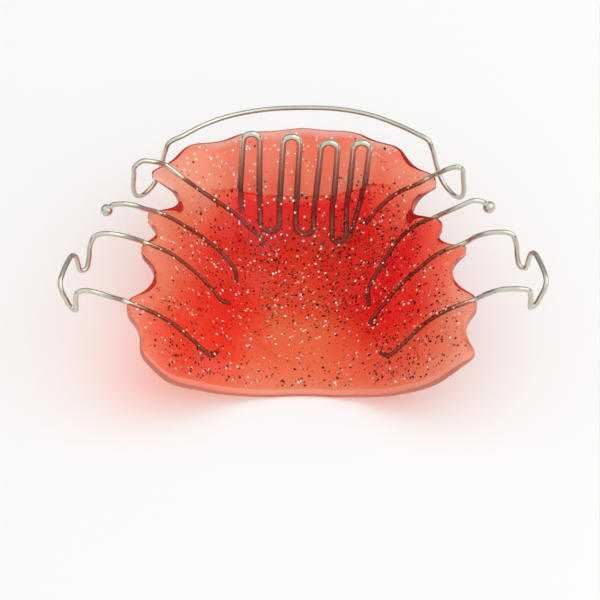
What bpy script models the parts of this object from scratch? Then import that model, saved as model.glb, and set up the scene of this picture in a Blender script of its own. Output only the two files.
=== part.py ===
"""Removable habit appliance for an upper dental arch.

A clear red acrylic plate covers the palate. It carries a tongue crib of four standing loops behind the
front teeth, a labial bow round the front teeth, a ball clasp on each side between the premolars, and an
Adams clasp on each first molar. Every wire ends in a bent tag that lies in a channel of the plate.

The drawing frame has X across the arch, Y towards the front teeth and Z towards the biting edges, with
zero at the edges of the central incisors. An empty carries every piece, so that the plate stands on the
ground plane and the whole appliance is centred over the origin.
"""

import math

import bmesh
import bpy
import numpy as np
from mathutils import Vector
from mathutils.geometry import delaunay_2d_cdt

MM = 0.001


def mm(*rows):
    """Rows of numbers in millimetres, as metres."""
    return [tuple(value * MM for value in row) for row in rows]


# Palate under the plate
VAULT_FLOOR_Z = -18.0 * MM
VAULT_RISE = 12.5 * MM
VAULT_FRONT_Y = -0.8 * MM
VAULT_TURN_Y = -18.0 * MM
VAULT_BACK_Y = -42.0 * MM
VAULT_HALF_LEFT = 19.6 * MM
VAULT_HALF_RIGHT = 18.0 * MM
VAULT_HALF_BACK = 21.6 * MM
VAULT_ROUNDNESS = 2.2
VAULT_STEEPNESS = 1.9
VAULT_FLAT_SHARE = 0.15
NECK_Z_SIDES = -6.9 * MM
NECK_Z_FRONT = -5.2 * MM
NECK_TURN_Y = -12.0 * MM
NECK_TURN = 8.0 * MM
NECK_BLEND = 0.9 * MM

# Plate
PLATE_THICKNESS = 2.4 * MM
NECK_THICKNESS = 1.7 * MM
THINNING_Z = -13.0 * MM
THINNING_RISE = 6.0 * MM
BACK_THICKNESS = 1.2 * MM
BACK_TAPER = 4.5 * MM
PLATE_STEEPEST = 1.6
PAD_THICKNESS = 2.0 * MM
PAD_FRONT_Y = -9.0 * MM
PAD_BOW = 1.0 * MM
PAD_STEP = 1.3 * MM
PAD_HOLD = 4.0 * MM
PAD_FADE = 16.0 * MM
PAD_HALF_WIDTH = 9.4 * MM
PAD_SIDE_FADE = 4.5 * MM
EDGE_RADIUS = 0.6 * MM
TISSUE_EDGE = 0.25 * MM
MARGIN_FILLET = 0.5 * MM
PLATE_MIDDLE_Y = -24.0 * MM
MARGIN_POINTS = 132
MARGIN_RAYS = 1800
RAY_STEPS = 1200
EDGE_STEPS = 2
NET_STEP = 2.0 * MM
NET_CLEAR = 1.1 * MM
PAD_FRONT_ROWS = (0.0, 0.5, 1.0)
PAD_FRONT_STEP = 1.5 * MM
SLOPE_STEP = 0.05 * MM
SHARP_ANGLE = math.radians(50.0)

# Tooth necks that the plate is fitted to, from the central incisor back to the second molar:
# centre x, centre y, half width across the arch, half width along the arch
LEFT_NECKS = mm(
    (-4.4, 1.5, 2.3, 4.4),
    (-12.6, -1.3, 2.3, 3.5),
    (-20.2, -4.9, 2.9, 3.8),
    (-21.3, -13.2, 4.2, 3.3),
    (-24.1, -20.4, 4.2, 2.9),
    (-25.0, -29.3, 5.2, 5.0),
    (-26.1, -41.0, 5.0, 4.9),
)
RIGHT_NECKS = mm(
    (4.3, 1.5, 2.3, 4.3),
    (11.9, -1.3, 2.3, 3.4),
    (17.6, -5.6, 2.9, 3.6),
    (19.4, -14.6, 4.2, 3.3),
    (22.6, -20.7, 4.1, 2.7),
    (25.3, -28.8, 5.2, 5.0),
    (26.3, -39.8, 5.0, 4.9),
)
FIRST_MOLAR_INDEX = 5

# The acrylic's back edge, from left to right
BACK_EDGE = mm(
    (-20.8, -43.3),
    (-17.8, -44.8),
    (-13.0, -42.9),
    (-7.0, -40.9),
    (0.0, -40.2),
    (6.5, -40.9),
    (12.5, -43.2),
    (18.4, -45.1),
    (22.3, -43.7),
)

# How far the acrylic reaches behind the front teeth and between the side teeth, and round its back edge
MARGIN_REACH = [
    *mm(
        (0.0, -0.5),
        (-8.9, -1.9),
        (-15.6, -4.3),
        (-21.2, -8.8),
        (-21.3, -17.6),
        (-21.8, -24.0),
        (-23.1, -35.5),
    ),
    *BACK_EDGE,
    *mm(
        (23.1, -34.6),
        (22.4, -23.6),
        (19.0, -18.3),
        (18.6, -9.6),
        (13.9, -5.0),
        (8.4, -1.9),
    ),
]

# Wires
CLASP_WIRE = 0.7 * MM
CRIB_WIRE = 0.9 * MM
BALL_DIAMETER = 1.7 * MM
BALL_FLAT = math.radians(14.0)
BALL_STEPS = 6
CHANNEL_GAP = 0.3 * MM
EXIT_LIFT = 0.1 * MM
WIRE_STEP = 1.5 * MM
WIRE_ROUND_STEPS = 2
BEND_STEP = math.radians(32.0)
SHORTEST_STEP = 0.1 * MM
SAME_PLACE = 0.001 * MM

# Tongue crib: for each loop the x of its top, of its left foot and of its right foot, and the z of its top
CRIB_LOOPS = mm(
    (-7.0, -8.9, -6.1, 0.6),
    (-1.4, -3.3, -0.9, 0.0),
    (3.9, 1.7, 4.4, -0.9),
    (8.4, 6.5, 8.6, -0.7),
)
CRIB_LOOP_WIDTH = 2.3 * MM
CRIB_FOLD_Y = -9.3 * MM
CRIB_FOLD_RADIUS = 2.0 * MM
CRIB_LEAN = math.radians(8.0)
CRIB_TURNS_BACK = (2.6 * MM, 2.5 * MM, 4.4 * MM)
CRIB_ENDS_BACK = (0.9 * MM, 4.4 * MM)
CRIB_ENDS_SHIFT = (0.1 * MM, -1.6 * MM)

# Labial bow, from the left canine round the front teeth to the right canine
BOW_Z = -3.6 * MM
BOW_ARC = mm(
    (-17.0, -3.0),
    (-13.7, -0.3),
    (-9.9, 1.7),
    (-5.2, 3.0),
    (0.0, 3.4),
    (5.2, 3.1),
    (9.7, 1.8),
    (13.1, -0.1),
    (16.1, -2.3),
)

# Loop of the bow beside a canine, from the crossing to the arc: share of the way, then outwards and z
BOW_LOOP_SHARES = (0.02, 0.04, 0.15, 0.36, 0.58, 0.70, 0.76, 0.83)
BOW_LOOP = mm(
    (0.4, -4.2),
    (0.9, -7.4),
    (1.3, -9.6),
    (1.6, -10.6),
    (1.6, -9.9),
    (1.5, -7.9),
    (1.2, -5.5),
    (0.9, -4.1),
)

# Where each wire crosses between two teeth, from its way out of the acrylic to the cheek side
LEFT_BOW_CROSSING = mm(
    (-19.0, -9.2, -3.7),
    (-20.6, -10.0, -2.4),
    (-22.2, -10.4, -2.0),
    (-23.2, -11.0, -2.5),
)
RIGHT_BOW_CROSSING = mm(
    (18.9, -10.9, -3.8),
    (20.1, -11.5, -2.5),
    (21.4, -11.6, -2.0),
    (22.2, -11.4, -2.6),
)
LEFT_BALL_CROSSING = mm(
    (-21.4, -18.3, -3.8),
    (-22.9, -19.0, -2.5),
    (-24.4, -19.3, -2.0),
    (-25.7, -19.2, -2.3),
)
RIGHT_BALL_CROSSING = mm(
    (20.1, -18.8, -3.7),
    (21.6, -19.1, -2.5),
    (23.2, -18.9, -1.8),
    (24.6, -18.7, -2.2),
)
LEFT_BALL = (-26.6 * MM, -18.9 * MM, -3.5 * MM)
RIGHT_BALL = (25.5 * MM, -18.4 * MM, -3.4 * MM)
LEFT_FRONT_CROSSING = mm((-22.7, -24.3, -3.8), (-24.6, -25.1, -2.4), (-26.6, -25.3, -2.0))
LEFT_BACK_CROSSING = mm((-25.0, -35.9, -3.5), (-26.8, -36.4, -2.2), (-28.3, -36.3, -2.0))
RIGHT_FRONT_CROSSING = mm((23.3, -24.2, -3.6), (24.8, -24.9, -2.3), (26.5, -25.0, -2.0))
RIGHT_BACK_CROSSING = mm((24.2, -35.2, -3.6), (25.9, -35.8, -2.3), (28.4, -36.0, -2.0))

# Tags in plan, from the way out of the acrylic to the bent end
LEFT_BOW_TAG = mm(
    (-17.3, -9.8),
    (-14.5, -9.9),
    (-11.3, -10.6),
    (-7.8, -12.1),
    (-5.9, -13.2),
    (-5.5, -14.3),
)
RIGHT_BOW_TAG = mm((17.8, -10.4), (16.0, -10.7), (13.2, -10.5), (11.4, -11.3), (9.2, -13.0))
LEFT_BALL_TAG = mm(
    (-19.9, -17.4),
    (-16.9, -17.4),
    (-13.8, -17.2),
    (-11.1, -18.4),
    (-9.5, -20.5),
    (-9.3, -22.0),
)
RIGHT_BALL_TAG = mm(
    (18.8, -18.1),
    (15.5, -18.1),
    (13.7, -18.4),
    (11.2, -21.1),
    (9.4, -24.0),
    (9.4, -26.6),
)
LEFT_FRONT_TAG = mm(
    (-21.4, -23.6),
    (-18.0, -24.0),
    (-14.9, -24.5),
    (-12.5, -25.6),
    (-11.2, -26.7),
    (-10.1, -26.3),
)
LEFT_BACK_TAG = mm(
    (-23.4, -35.0),
    (-20.5, -35.7),
    (-17.1, -36.1),
    (-14.1, -37.0),
    (-12.4, -37.5),
    (-11.6, -36.3),
)
RIGHT_FRONT_TAG = mm(
    (22.2, -23.6),
    (19.0, -24.6),
    (16.3, -25.8),
    (13.3, -26.6),
    (10.8, -28.4),
    (9.5, -29.8),
    (10.3, -30.6),
)
RIGHT_BACK_TAG = mm(
    (22.8, -34.7),
    (19.3, -35.4),
    (16.6, -35.6),
    (13.8, -36.6),
    (11.8, -37.2),
    (10.7, -36.0),
)

# Adams clasp on the cheek side of a first molar, from the centre of its neck: outwards, forwards, and z
ARROWHEADS = mm(
    (2.7, 3.7, -2.3),
    (3.4, 3.3, -3.7),
    (3.6, 2.7, -5.4),
    (4.0, 1.9, -6.5),
    (4.7, 1.5, -6.4),
    (5.0, 1.6, -5.0),
    (5.2, 1.5, -3.8),
    (5.6, 0.8, -3.1),
    (6.7, -4.4, -3.1),
    (6.5, -5.1, -3.8),
    (6.0, -5.5, -5.0),
    (5.4, -5.6, -6.4),
    (4.8, -6.0, -6.5),
    (4.6, -6.6, -5.3),
    (4.5, -7.0, -3.7),
    (4.2, -7.1, -2.4),
)


def ease(u):
    """Rises smoothly from 0 to 1."""
    u = np.clip(u, 0.0, 1.0)
    return u * u * (3.0 - 2.0 * u)


def lowest(values, blend):
    """The smallest of several values, with a rounded change from one to the next."""
    values = np.stack(values)
    low = values.min(axis=0)
    return low - blend * np.log(np.exp((low - values) / blend).sum(axis=0))


def palate(x, y):
    """Height of the palate, which the plate's under side lies on."""
    half_front = np.where(x < 0.0, VAULT_HALF_LEFT, VAULT_HALF_RIGHT)
    behind = np.clip((VAULT_TURN_Y - y) / (VAULT_TURN_Y - VAULT_BACK_Y), 0.0, None)
    across = np.abs(x) / (half_front + (VAULT_HALF_BACK - half_front) * behind)
    ahead = np.clip((y - VAULT_TURN_Y) / (VAULT_FRONT_Y - VAULT_TURN_Y), 0.0, None)
    reach = (across**VAULT_ROUNDNESS + ahead**VAULT_ROUNDNESS) ** (1.0 / VAULT_ROUNDNESS)
    climb = np.clip(reach - VAULT_FLAT_SHARE, 0.0, None) / (1.0 - VAULT_FLAT_SHARE)
    vault = VAULT_FLOOR_Z + VAULT_RISE * climb**VAULT_STEEPNESS
    neck = NECK_Z_SIDES + (NECK_Z_FRONT - NECK_Z_SIDES) * ease((y - NECK_TURN_Y) / NECK_TURN)
    return lowest((vault, neck), NECK_BLEND)


def pad_front(x):
    """Where the pad reaches its full thickness, further back towards its sides."""
    return PAD_FRONT_Y - PAD_BOW * (x / PAD_HALF_WIDTH) ** 2


def pad(x, y):
    """Extra thickness that holds the crib and the inner ends of the tags."""
    front = ease((pad_front(x) + PAD_STEP - y) / PAD_STEP)
    back = 1.0 - ease((PAD_FRONT_Y - PAD_HOLD - y) / PAD_FADE)
    side = 1.0 - ease((np.abs(x) - PAD_HALF_WIDTH) / PAD_SIDE_FADE)
    return PAD_THICKNESS * front * back * side


def thickness(x, y):
    """Thickness of the plate, which thins towards the tooth necks and towards its back edge."""
    near_neck = ease((palate(x, y) - THINNING_Z) / THINNING_RISE)
    full = PLATE_THICKNESS + (NECK_THICKNESS - PLATE_THICKNESS) * near_neck
    back_y = np.interp(x, *zip(*BACK_EDGE))
    return BACK_THICKNESS + (full - BACK_THICKNESS) * ease((y - back_y) / BACK_TAPER) + pad(x, y)


def rise_over(x, y):
    """Height of the plate's upper side over the palate, larger where the palate is steep."""
    slope_x = (palate(x + SLOPE_STEP, y) - palate(x - SLOPE_STEP, y)) / (2.0 * SLOPE_STEP)
    slope_y = (palate(x, y + SLOPE_STEP) - palate(x, y - SLOPE_STEP)) / (2.0 * SLOPE_STEP)
    slope = np.minimum(np.sqrt(slope_x**2 + slope_y**2), PLATE_STEEPEST)
    return thickness(x, y) * np.sqrt(1.0 + slope**2)


def upper(x, y):
    """Height of the plate's upper side."""
    return palate(x, y) + rise_over(x, y)


def middle(x, y):
    """Height halfway through the plate."""
    return palate(x, y) + 0.5 * rise_over(x, y)


def spline(points, step, closed=False):
    """Points along a smooth curve through the given points, about one step apart."""
    points = [Vector(point) for point in points]
    if closed:
        row = [points[-1]] + points + points[:2]
    else:
        row = [2.0 * points[0] - points[1]] + points + [2.0 * points[-1] - points[-2]]
    path = [row[1]]
    for p0, p1, p2, p3 in zip(row, row[1:], row[2:], row[3:]):
        t1 = math.sqrt((p1 - p0).length)
        t2 = t1 + math.sqrt((p2 - p1).length)
        t3 = t2 + math.sqrt((p3 - p2).length)
        pieces = max(1, round((p2 - p1).length / step))
        for i in range(1, pieces + 1):
            t = t1 + (t2 - t1) * i / pieces
            share = (t - t1) / (t2 - t1)
            a = p0.lerp(p1, t / t1)
            b = p1.lerp(p2, share)
            c = p2.lerp(p3, (t - t2) / (t3 - t2))
            path.append(a.lerp(b, t / t2).lerp(b.lerp(c, (t - t1) / (t3 - t1)), share))
    return path[:-1] if closed else path


def rounded(corners, radii):
    """A line through the corners whose bends are arcs of the given radii."""
    path = [corners[0]]
    for before, corner, after, radius in zip(corners, corners[1:], corners[2:], radii):
        back = (before - corner).normalized()
        ahead = (after - corner).normalized()
        half = back.angle(ahead) / 2.0
        centre = corner + (back + ahead).normalized() * radius / math.sin(half)
        start = (corner + back * radius / math.tan(half) - centre).normalized()
        end = (corner + ahead * radius / math.tan(half) - centre).normalized()
        pieces = max(2, round((math.pi - 2.0 * half) / BEND_STEP))
        for i in range(pieces + 1):
            point = centre + start.slerp(end, i / pieces) * radius
            if (point - path[-1]).length > SHORTEST_STEP:
                path.append(point)
    return path + [corners[-1]]


def finish(name, colour, roughness, metallic, transmission=0.0):
    """A material with one plain surface."""
    material = bpy.data.materials.new(name)
    material.use_nodes = True
    surface = material.node_tree.nodes["Principled BSDF"]
    surface.inputs["Base Color"].default_value = (*colour, 1.0)
    surface.inputs["Roughness"].default_value = roughness
    surface.inputs["Metallic"].default_value = metallic
    surface.inputs["Transmission Weight"].default_value = transmission
    return material


def link(name, data, carrier, material=None):
    """Adds an object that its carrier moves."""
    thing = bpy.data.objects.new(name, data)
    bpy.context.collection.objects.link(thing)
    thing.parent = carrier
    if material:
        data.materials.append(material)
    return thing


def tube_data(name, path, diameter, widths=None):
    """A curve with a round section and closed ends. The widths scale the section at each point."""
    curve = bpy.data.curves.new(name, "CURVE")
    curve.dimensions = "3D"
    curve.bevel_depth = diameter / 2.0
    curve.bevel_resolution = WIRE_ROUND_STEPS
    curve.use_fill_caps = True
    line = curve.splines.new("POLY")
    line.points.add(len(path) - 1)
    for point, place, width in zip(line.points, path, widths or [1.0] * len(path)):
        point.co = (*place, 1.0)
        point.radius = width
    return curve


def tag(plan):
    """The way of a tag: out of the acrylic at its first point, and halfway through the plate beyond."""
    (x, y), *rest = plan
    return [Vector((x, y, upper(x, y) + EXIT_LIFT))] + [Vector((x, y, middle(x, y))) for x, y in rest]


def crossing_path(plan, crossing):
    """From a tag's bent end through the plate and over the contact between two teeth."""
    return tag(plan)[::-1] + [Vector(point) for point in crossing]


def crib_path():
    """Four standing loops, joined and ended by bends that lie in the pad."""

    def laid(x, back):
        y = CRIB_FOLD_Y - back
        return Vector((x, y, middle(x, y)))

    def standing(x, z):
        fold = laid(x, 0.0)
        return Vector((x, fold.y + (z - fold.z) * math.tan(CRIB_LEAN), z))

    half = CRIB_LOOP_WIDTH / 2.0
    first_foot = CRIB_LOOPS[0][1]
    corners = [laid(first_foot + CRIB_ENDS_SHIFT[0], CRIB_ENDS_BACK[0])]
    radii = []
    for i, (top_x, left_foot, right_foot, top_z) in enumerate(CRIB_LOOPS):
        corners += [
            laid(left_foot, 0.0),
            standing(top_x - half, top_z),
            standing(top_x + half, top_z),
            laid(right_foot, 0.0),
        ]
        radii += [CRIB_FOLD_RADIUS, half, half, CRIB_FOLD_RADIUS]
        if i < len(CRIB_LOOPS) - 1:
            next_foot = CRIB_LOOPS[i + 1][1]
            back = CRIB_TURNS_BACK[i]
            corners += [laid(right_foot, back), laid(next_foot, back)]
            radii += [(next_foot - right_foot) / 2.0] * 2
    last_foot = CRIB_LOOPS[-1][2]
    corners.append(laid(last_foot + CRIB_ENDS_SHIFT[1], CRIB_ENDS_BACK[1]))
    return rounded(corners, radii)


def bow_loop(crossing_end, arc_end):
    """The loop of the bow beside a canine, from the crossing to the start of the arc."""
    start = Vector(crossing_end)
    way = Vector((*arc_end, BOW_Z)) - start
    outwards = Vector((-way.y, way.x, 0.0)).normalized()
    if outwards.x * start.x < 0.0:
        outwards.negate()
    points = []
    for share, (out, z) in zip(BOW_LOOP_SHARES, BOW_LOOP):
        place = start + way * share + outwards * out
        points.append(Vector((place.x, place.y, z)))
    return points


def bow_path():
    """The labial bow, from its left tag to its right tag."""
    left = crossing_path(LEFT_BOW_TAG, LEFT_BOW_CROSSING)
    right = crossing_path(RIGHT_BOW_TAG, RIGHT_BOW_CROSSING)
    left += bow_loop(LEFT_BOW_CROSSING[-1], BOW_ARC[0])
    right += bow_loop(RIGHT_BOW_CROSSING[-1], BOW_ARC[-1])
    arc = [Vector((x, y, BOW_Z)) for x, y in BOW_ARC]
    return spline(left + arc + right[::-1], WIRE_STEP)


def adams_path(necks, front_tag, front_crossing, back_tag, back_crossing):
    """An Adams clasp, from its front tag round the first molar to its back tag."""
    x, y, _, _ = necks[FIRST_MOLAR_INDEX]
    side = math.copysign(1.0, x)
    hold = [Vector((x + side * out, y + ahead, z)) for out, ahead, z in ARROWHEADS]
    front = crossing_path(front_tag, front_crossing)
    back = crossing_path(back_tag, back_crossing)
    return spline(front + hold + back[::-1], WIRE_STEP)


def ball_clasp(plan, crossing, ball):
    """The path of a ball clasp and the widths along it, which swell to the ball at its end."""
    path = spline(crossing_path(plan, crossing) + [Vector(ball)], WIRE_STEP)
    centre = path[-1]
    along = (path[-1] - path[-2]).normalized()
    path = [point for point in path if (point - centre).length > BALL_DIAMETER / 2.0]
    widths = [1.0] * len(path)
    neck = math.asin(CLASP_WIRE / BALL_DIAMETER)
    for i in range(BALL_STEPS + 1):
        angle = neck + (math.pi - BALL_FLAT - neck) * i / BALL_STEPS
        path.append(centre - along * math.cos(angle) * BALL_DIAMETER / 2.0)
        widths.append(math.sin(angle) * BALL_DIAMETER / CLASP_WIRE)
    return path, widths


def margin():
    """Points round the plate's margin, evenly spaced: where the acrylic meets the tooth necks."""
    hub = Vector((0.0, PLATE_MIDDLE_Y))
    limit = np.array([point - hub for point in spline(MARGIN_REACH, MARGIN_FILLET, closed=True)])
    limit_angle = np.arctan2(limit[:, 1], limit[:, 0])
    limit_reach = np.hypot(limit[:, 0], limit[:, 1])
    angle = np.linspace(-math.pi, math.pi, MARGIN_RAYS + 1)[:-1]
    reach = np.interp(angle, limit_angle, limit_reach, period=2.0 * math.pi)
    travel = np.linspace(0.0, reach.max() + MARGIN_FILLET, RAY_STEPS + 1)[None, :]
    x = travel * np.cos(angle)[:, None]
    y = travel * np.sin(angle)[:, None] + PLATE_MIDDLE_Y
    gaps = [reach[:, None] - travel]
    for necks in (LEFT_NECKS, RIGHT_NECKS):
        for i, (neck_x, neck_y, across, along) in enumerate(necks):
            ahead = Vector(necks[max(i - 1, 0)][:2])
            behind = Vector(necks[min(i + 1, len(necks) - 1)][:2])
            if i == 0:
                ahead = Vector((-behind.x, behind.y))
            way = (behind - ahead).normalized()
            u = ((x - neck_x) * way.x + (y - neck_y) * way.y) / along
            v = ((x - neck_x) * way.y - (y - neck_y) * way.x) / across
            gaps.append((np.hypot(u, v) - 1.0) * across)
    gap = lowest(gaps, MARGIN_FILLET)
    first = (gap < 0.0).argmax(axis=1)
    rows = np.arange(len(angle))
    before = gap[rows, first - 1]
    after = gap[rows, first]
    distance = travel[0, first - 1] + (travel[0, first] - travel[0, first - 1]) * before / (before - after)
    outline = np.stack([distance * np.cos(angle), distance * np.sin(angle) + PLATE_MIDDLE_Y], axis=1)
    closed = np.vstack([outline, outline[:1]])
    length = np.concatenate([[0.0], np.cumsum(np.hypot(*np.diff(closed, axis=0).T))])
    stations = np.linspace(0.0, length[-1], MARGIN_POINTS + 1)[:-1]
    return np.stack([np.interp(stations, length, closed[:, i]) for i in (0, 1)], axis=1)


def inside_points(border):
    """Plan points inside a border: a net of even triangles, and rows along the front of the pad."""
    row_step = NET_STEP * math.sqrt(3.0) / 2.0
    low = border.min(axis=0)
    high = border.max(axis=0)
    points = []
    for row, y in enumerate(np.arange(low[1], high[1], row_step)):
        start = low[0] + (row % 2) * NET_STEP / 2.0
        points += [(x, y) for x in np.arange(start, high[0], NET_STEP)]
    points = np.array(points)
    x, y = points.T
    half = PAD_HALF_WIDTH + PAD_SIDE_FADE
    points = points[(np.abs(x) > half) | (np.abs(y - pad_front(x) - PAD_STEP / 2.0) > PAD_STEP)]
    x = np.arange(-half, half, PAD_FRONT_STEP)
    rows = [np.stack([x, pad_front(x) + PAD_STEP * share], axis=1) for share in PAD_FRONT_ROWS]
    points = np.vstack([points, *rows])
    clear = np.hypot(*(points[:, None] - border[None]).T).min(axis=0) > NET_CLEAR
    after = np.roll(border, -1, axis=0)
    x, y = points[:, 0, None], points[:, 1, None]
    spans = (border[:, 1] > y) != (after[:, 1] > y)
    rise = np.where(after[:, 1] == border[:, 1], 1.0, after[:, 1] - border[:, 1])
    crossed = spans & (x < border[:, 0] + (y - border[:, 1]) / rise * (after[:, 0] - border[:, 0]))
    return points[clear & (crossed.sum(axis=1) % 2 == 1)]


def plate_mesh():
    """The plate before its channels are cut."""
    edge = margin()
    way = np.roll(edge, -1, axis=0) - np.roll(edge, 1, axis=0)
    inwards = np.stack([-way[:, 1], way[:, 0]], axis=1) / np.hypot(*way.T)[:, None]
    shape = bmesh.new()

    def ring(plan, height, drop=0.0):
        z = height(plan[:, 0], plan[:, 1]) + drop
        return [shape.verts.new((*point, level)) for point, level in zip(plan, z)]

    def bridge(outer, inner):
        for i in range(len(outer)):
            j = (i + 1) % len(outer)
            shape.faces.new((outer[i], outer[j], inner[j], inner[i]))

    def fill(border, plan, height):
        net = inside_points(plan)
        corners = border + ring(net, height)
        flat = [Vector(point) for point in np.vstack([plan, net])]
        outline = [list(range(len(plan)))]
        _, _, faces, sources, _, _ = delaunay_2d_cdt(flat, [], outline, 1, 1e-9)
        for face in faces:
            shape.faces.new([corners[sources[i][0]] for i in face])

    def sheet(edges, height):
        rings = [ring(edge + inwards * inset, height, drop) for inset, drop in edges]
        for outer, inner in zip(rings, rings[1:]):
            bridge(outer, inner)
        fill(rings[-1], edge + inwards * edges[-1][0], height)
        return rings[0]

    bends = [math.pi / 2.0 * i / EDGE_STEPS for i in range(EDGE_STEPS + 1)]
    upper_edges = [(EDGE_RADIUS * (1.0 - math.cos(a)), EDGE_RADIUS * (math.sin(a) - 1.0)) for a in bends]
    bridge(sheet(upper_edges, upper), sheet([(0.0, TISSUE_EDGE), (TISSUE_EDGE, 0.0)], palate))
    bmesh.ops.recalc_face_normals(shape, faces=shape.faces)
    mesh = bpy.data.meshes.new("baseplate")
    shape.to_mesh(mesh)
    shape.free()
    return mesh


def lengthened(path, gap):
    """The path with both ends moved on by the gap."""
    start = path[0] + (path[0] - path[1]).normalized() * gap
    end = path[-1] + (path[-1] - path[-2]).normalized() * gap
    return [start] + path[1:-1] + [end]


def add_channel(channels, carrier, name, path, wire):
    """Adds the room of one wire in the plate, with the gap all round and at the ends."""
    data = tube_data(name, lengthened(path, CHANNEL_GAP), wire + 2.0 * CHANNEL_GAP)
    pattern = bpy.data.objects.new(name, data)
    mesh = bpy.data.meshes.new_from_object(pattern)
    bpy.data.objects.remove(pattern)
    bpy.data.curves.remove(data)
    shape = bmesh.new()
    shape.from_mesh(mesh)
    bmesh.ops.remove_doubles(shape, verts=shape.verts, dist=SAME_PLACE)
    bmesh.ops.recalc_face_normals(shape, faces=shape.faces)
    shape.to_mesh(mesh)
    shape.free()
    cutter = link(name, mesh, carrier)
    cutter.hide_render = True
    cutter.display_type = "WIRE"
    channels.objects.link(cutter)


def stand_on_ground(carrier, things):
    """Moves the carrier, so that the things rest on the ground plane and are centred over the origin."""
    bpy.context.view_layer.update()
    graph = bpy.context.evaluated_depsgraph_get()
    corners = []
    for thing in things:
        seen = thing.evaluated_get(graph)
        mesh = seen.to_mesh()
        corners += [thing.matrix_world @ vertex.co for vertex in mesh.vertices]
        seen.to_mesh_clear()
    low = Vector(min(corner[axis] for corner in corners) for axis in range(3))
    high = Vector(max(corner[axis] for corner in corners) for axis in range(3))
    carrier.location = (-(low.x + high.x) / 2.0, -(low.y + high.y) / 2.0, -low.z)
    bpy.context.view_layer.update()


def main():
    for thing in list(bpy.data.objects):
        bpy.data.objects.remove(thing, do_unlink=True)
    carrier = bpy.data.objects.new("appliance", None)
    bpy.context.collection.objects.link(carrier)
    acrylic = finish("red_acrylic", (0.80, 0.05, 0.03), roughness=0.12, metallic=0.0, transmission=0.6)
    steel = finish("steel_wire", (0.62, 0.62, 0.60), roughness=0.22, metallic=1.0)

    mesh = plate_mesh()
    mesh.shade_smooth()
    mesh.set_sharp_from_angle(angle=SHARP_ANGLE)
    plate = link("baseplate", mesh, carrier, acrylic)

    crib = crib_path()
    wires = [
        link("tongue_crib", tube_data("tongue_crib", crib, CRIB_WIRE), carrier, steel),
        link("labial_bow", tube_data("labial_bow", bow_path(), CLASP_WIRE), carrier, steel),
    ]
    for side, plan, crossing, ball in (
        ("left", LEFT_BALL_TAG, LEFT_BALL_CROSSING, LEFT_BALL),
        ("right", RIGHT_BALL_TAG, RIGHT_BALL_CROSSING, RIGHT_BALL),
    ):
        name = f"ball_clasp_{side}"
        path, widths = ball_clasp(plan, crossing, ball)
        wires.append(link(name, tube_data(name, path, CLASP_WIRE, widths), carrier, steel))
    for side, necks, *ways in (
        ("left", LEFT_NECKS, LEFT_FRONT_TAG, LEFT_FRONT_CROSSING, LEFT_BACK_TAG, LEFT_BACK_CROSSING),
        ("right", RIGHT_NECKS, RIGHT_FRONT_TAG, RIGHT_FRONT_CROSSING, RIGHT_BACK_TAG, RIGHT_BACK_CROSSING),
    ):
        name = f"adams_clasp_{side}"
        wires.append(link(name, tube_data(name, adams_path(necks, *ways), CLASP_WIRE), carrier, steel))

    channels = bpy.data.collections.new("channels")
    bpy.context.scene.collection.children.link(channels)
    add_channel(channels, carrier, "crib_channel", crib, CRIB_WIRE)
    for name, plan, crossing in (
        ("bow_channel_left", LEFT_BOW_TAG, LEFT_BOW_CROSSING),
        ("bow_channel_right", RIGHT_BOW_TAG, RIGHT_BOW_CROSSING),
        ("ball_channel_left", LEFT_BALL_TAG, LEFT_BALL_CROSSING),
        ("ball_channel_right", RIGHT_BALL_TAG, RIGHT_BALL_CROSSING),
        ("front_channel_left", LEFT_FRONT_TAG, LEFT_FRONT_CROSSING),
        ("back_channel_left", LEFT_BACK_TAG, LEFT_BACK_CROSSING),
        ("front_channel_right", RIGHT_FRONT_TAG, RIGHT_FRONT_CROSSING),
        ("back_channel_right", RIGHT_BACK_TAG, RIGHT_BACK_CROSSING),
    ):
        add_channel(channels, carrier, name, spline(crossing_path(plan, crossing), WIRE_STEP), CLASP_WIRE)
    cut = plate.modifiers.new("channels", "BOOLEAN")
    cut.operation = "DIFFERENCE"
    cut.solver = "EXACT"
    cut.operand_type = "COLLECTION"
    cut.collection = channels
    stand_on_ground(carrier, [plate] + wires)


main()
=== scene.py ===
"""Looks of a removable habit appliance: a clear red acrylic plate with glitter, and polished steel wires.

The shapes are drawn as the model's are, with X across the arch, Y towards the front teeth and Z towards the
biting edges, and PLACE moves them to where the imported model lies.
"""

import math

import bmesh
import bpy
import numpy as np
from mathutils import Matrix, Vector, noise
from mathutils.geometry import delaunay_2d_cdt


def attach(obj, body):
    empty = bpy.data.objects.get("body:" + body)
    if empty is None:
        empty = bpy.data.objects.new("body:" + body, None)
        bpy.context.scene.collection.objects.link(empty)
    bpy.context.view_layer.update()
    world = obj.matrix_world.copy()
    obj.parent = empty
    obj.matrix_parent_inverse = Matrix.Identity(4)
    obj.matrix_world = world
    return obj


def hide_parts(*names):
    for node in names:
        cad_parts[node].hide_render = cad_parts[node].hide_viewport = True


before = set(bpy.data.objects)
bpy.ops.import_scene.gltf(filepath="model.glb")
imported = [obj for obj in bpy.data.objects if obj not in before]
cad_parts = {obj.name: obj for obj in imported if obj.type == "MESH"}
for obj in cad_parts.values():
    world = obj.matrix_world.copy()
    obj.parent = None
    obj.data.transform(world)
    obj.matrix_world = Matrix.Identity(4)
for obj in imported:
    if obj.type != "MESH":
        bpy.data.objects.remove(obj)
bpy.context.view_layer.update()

MM = 0.001


def mm(*rows):
    """Rows of numbers in millimetres, as metres."""
    return [tuple(value * MM for value in row) for row in rows]


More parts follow.
